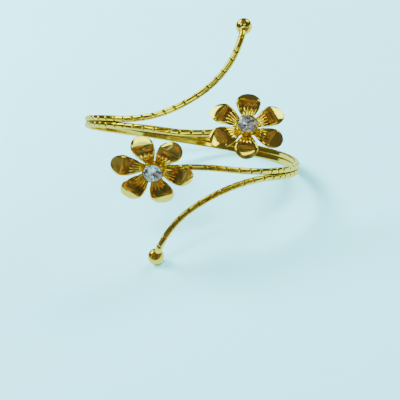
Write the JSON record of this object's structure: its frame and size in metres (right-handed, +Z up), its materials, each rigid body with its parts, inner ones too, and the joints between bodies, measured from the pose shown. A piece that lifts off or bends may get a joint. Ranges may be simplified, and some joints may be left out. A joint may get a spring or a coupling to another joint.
{
  "type": "upper arm cuff",
  "caption": "Open wire cuff for the upper arm: joined half-round wires that part in front into arms ending in balls and petal flowers with set crystals.",
  "frame": {"origin": "middle of the bounding box on the surface it rests on", "axes": "+Z up from the surface; +Y from the flowers in front to the joined wires at the back; +X to the right as seen from the front"},
  "size_m": [0.0754, 0.0854, 0.0709],
  "materials": {
    "wire_gold": "polished gold colour, with engraved notches",
    "petal_gold": "mirror-polished gold colour",
    "crystal": "clear cut crystal"
  },
  "bodies": {
    "root": {"wire_band": "wire_gold", "upper_ball": "wire_gold", "lower_ball": "wire_gold", "upper_flower": "petal_gold", "lower_flower": "petal_gold", "upper_setting": "petal_gold", "lower_setting": "petal_gold", "upper_stone": "crystal", "lower_stone": "crystal"}
  },
  "joints": []
}
